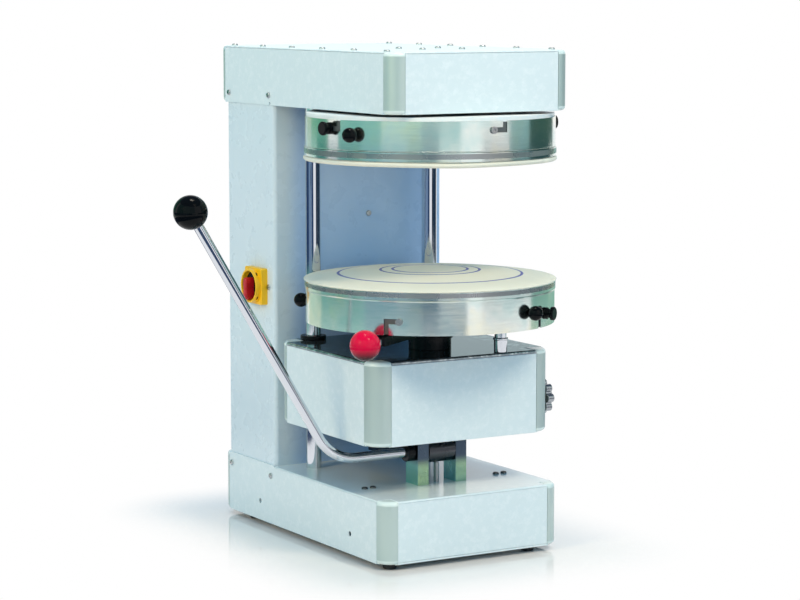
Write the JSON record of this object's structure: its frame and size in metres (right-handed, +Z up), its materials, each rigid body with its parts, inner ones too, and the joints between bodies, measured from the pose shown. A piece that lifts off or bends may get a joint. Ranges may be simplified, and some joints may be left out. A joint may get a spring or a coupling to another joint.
{
  "type": "pizza dough press",
  "caption": "Free-standing lever press for pizza dough: a carriage on guide columns lifts a cloth-covered round plate to a roller head under an overhanging head box.",
  "frame": {"origin": "on the floor, under the middle of the outline seen from above", "axes": "+Z up, front of the press towards -Y, lever on the -X side"},
  "size_m": [0.6643, 0.6256, 0.7948],
  "materials": {
    "panel_paint": "satin pale grey paint",
    "casing_paint": "gloss pale blue-grey paint",
    "profile_aluminium": "satin anodised",
    "black_rubber": "moulded",
    "zinc_plate": "yellow passivated zinc",
    "plain_steel": "turned and milled",
    "band_sheet": "bright rolled sheet",
    "chrome_steel": "polished",
    "cast_aluminium": "cast and turned",
    "black_knob": "polished moulding",
    "black_nylon": "machined",
    "black_screw": "blackened steel",
    "red_knob": "polished moulding",
    "red_handle": "moulded",
    "yellow_plastic": "moulded",
    "cream_cloth": "coated woven cloth"
  },
  "bodies": {
    "frame": {"base_top_plate": "panel_paint", "base_front_panel": "panel_paint", "base_side_panels": "panel_paint", "base_rear_panel": "panel_paint", "base_bottom_plate": "panel_paint", "base_corner_profiles": "profile_aluminium", "rubber_feet": "black_rubber", "pivot_beam": "plain_steel", "pivot_cheeks": "zinc_plate", "guide_columns": "chrome_steel", "casing_shell": "casing_paint", "casing_rear_cover": "casing_paint", "panel_screws": "chrome_steel", "socket_screws": "black_screw", "head_floor_plate": "plain_steel", "head_front_panel": "panel_paint", "head_side_panels": "panel_paint", "head_rear_panel": "panel_paint", "head_corner_profiles": "profile_aluminium", "head_top_cover": "panel_paint", "upper_pan": "cast_aluminium", "upper_pins": "plain_steel", "upper_pin_knobs": "black_knob", "spindle_housing": "cast_aluminium", "drive_motor": "cast_aluminium", "drive_belt": "black_rubber", "switch_body": "yellow_plastic"},
    "lever": {"lever_rod": "chrome_steel", "lever_ball": "black_knob", "lever_collar": "black_nylon", "lifting_cam": "plain_steel"},
    "carriage": {"carriage_top_plate": "panel_paint", "carriage_front_panel": "panel_paint", "carriage_side_panels": "panel_paint", "carriage_rear_panel": "panel_paint", "carriage_corner_profiles": "profile_aluminium", "column_bushes": "black_nylon", "roller_bracket": "zinc_plate", "guide_posts": "chrome_steel"},
    "cam_follower": {"cam_roller": "plain_steel"},
    "adjuster": {"adjuster_hub": "black_nylon", "adjuster_rod": "chrome_steel", "adjuster_ball": "red_knob"},
    "plate": {"lower_plate": "cast_aluminium", "lower_pins": "plain_steel", "lower_pin_knobs": "black_knob"},
    "lower_cover": {"lower_band": "band_sheet", "lower_band_knobs": "black_knob", "lower_strap": "band_sheet", "lower_cloth": "cream_cloth"},
    "upper_cover": {"upper_band": "band_sheet", "upper_band_knobs": "black_knob", "upper_strap": "band_sheet", "upper_cloth": "cream_cloth"},
    "rotor": {"roller_head": "cast_aluminium"},
    "left_roller": {"roller_left": "chrome_steel"},
    "right_roller": {"roller_right": "chrome_steel"},
    "motor_rotor": {"motor_pulley": "plain_steel"},
    "handle": {"switch_handle": "red_handle"},
    "knob": {"side_knob": "chrome_steel"}
  },
  "joints": [
    {"name": "lever_swing", "type": "hinge", "parent": "frame", "child": "lever", "pos_m": [0.1222, -0.12421, 0.1595], "axis": [1, 0, 0], "range_deg": [0, 95]},
    {"name": "carriage_lift", "type": "slide", "parent": "frame", "child": "carriage", "axis": [0, 0, 1], "range_m": [0, 0.16611]},
    {"name": "cam_roller_spin", "type": "hinge", "parent": "carriage", "child": "cam_follower", "pos_m": [0.1222, -0.12421, 0.2155], "axis": [1, 0, 0], "continuous": true},
    {"name": "adjuster_turn", "type": "hinge", "parent": "carriage", "child": "adjuster", "pos_m": [0.1222, -0.10421, 0.3192], "axis": [0, 0, 1], "range_deg": [-20, 20]},
    {"name": "plate_adjust", "type": "slide", "parent": "carriage", "child": "plate", "axis": [0, 0, 1], "range_m": [-0.00135, 0.00135]},
    {"name": "lower_cover_turn", "type": "hinge", "parent": "plate", "child": "lower_cover", "pos_m": [0.1222, -0.10421, 0.3645], "axis": [0, 0, 1], "range_deg": [0, 6]},
    {"name": "upper_cover_turn", "type": "hinge", "parent": "frame", "child": "upper_cover", "pos_m": [0.1222, -0.10421, 0.6187], "axis": [0, 0, 1], "range_deg": [-6, 0]},
    {"name": "rotor_spin", "type": "hinge", "parent": "frame", "child": "rotor", "pos_m": [0.1222, -0.10421, 0.6983], "axis": [0, 0, 1], "continuous": true},
    {"name": "motor_spin", "type": "hinge", "parent": "frame", "child": "motor_rotor", "pos_m": [0.1222, 0.20182, 0.6983], "axis": [0, 0, 1], "continuous": true},
    {"name": "left_roller_spin", "type": "hinge", "parent": "rotor", "child": "left_roller", "pos_m": [0.1222, -0.10421, 0.6367], "axis": [1, 0, 0], "continuous": true},
    {"name": "right_roller_spin", "type": "hinge", "parent": "rotor", "child": "right_roller", "pos_m": [0.1222, -0.10421, 0.6367], "axis": [1, 0, 0], "continuous": true},
    {"name": "switch_turn", "type": "hinge", "parent": "frame", "child": "handle", "pos_m": [-0.0368, 0.17582, 0.401], "axis": [1, 0, 0], "range_deg": [0, 90]},
    {"name": "side_knob_turn", "type": "hinge", "parent": "carriage", "child": "knob", "pos_m": [0.2862, -0.16821, 0.2363], "axis": [1, 0, 0], "continuous": true}
  ],
  "couplings": [
    {"joint": "carriage_lift", "follows": "lever_swing", "m_per_rad": 0.10018},
    {"joint": "plate_adjust", "follows": "adjuster_turn", "m_per_rad": 0.0038197},
    {"joint": "motor_spin", "follows": "rotor_spin", "ratio": 1},
    {"joint": "left_roller_spin", "follows": "rotor_spin", "ratio": 9.6667},
    {"joint": "right_roller_spin", "follows": "rotor_spin", "ratio": -9.6667}
  ]
}
